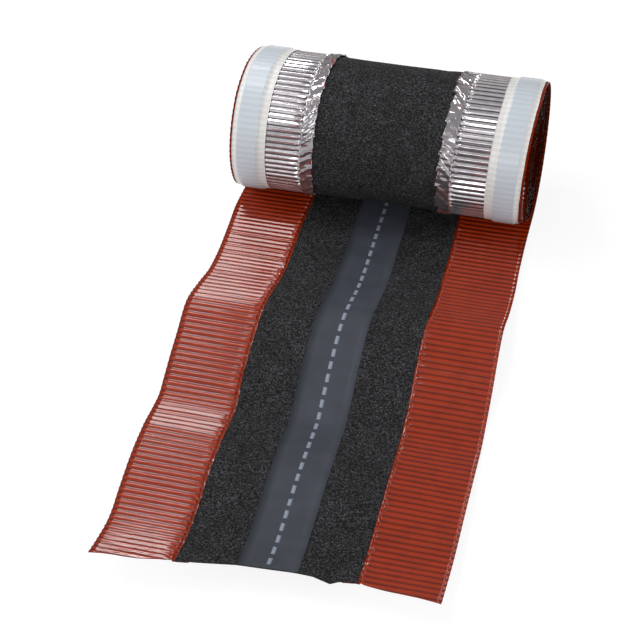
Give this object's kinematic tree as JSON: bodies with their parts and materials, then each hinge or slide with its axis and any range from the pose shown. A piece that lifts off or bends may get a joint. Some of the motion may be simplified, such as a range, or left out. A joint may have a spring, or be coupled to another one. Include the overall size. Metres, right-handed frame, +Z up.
{
  "type": "ventilated roof ridge roll",
  "caption": "Partly unrolled ventilated ridge flashing: black fleece middle, pleated red foil bands, adhesive edge strips under translucent liners, grey centre stripe.",
  "frame": {"origin": "middle of the footprint, on the floor", "axes": "+X along the roll's axis, +Y from the free end of the sheet to the roll, +Z up"},
  "size_m": [0.31, 0.6238, 0.1527],
  "materials": {
    "fleece": "matte nonwoven",
    "foil": "satin lacquer above, bare aluminium below",
    "butyl": "matte",
    "liner": "translucent film",
    "stripe": "smooth matte"
  },
  "bodies": {
    "root": {"fleece_band": "fleece", "foil_band_left": "foil", "foil_band_right": "foil", "butyl_strip_left": "butyl", "butyl_strip_right": "butyl", "release_liner_left": "liner", "release_liner_right": "liner", "centre_stripe": "stripe"}
  },
  "joints": []
}
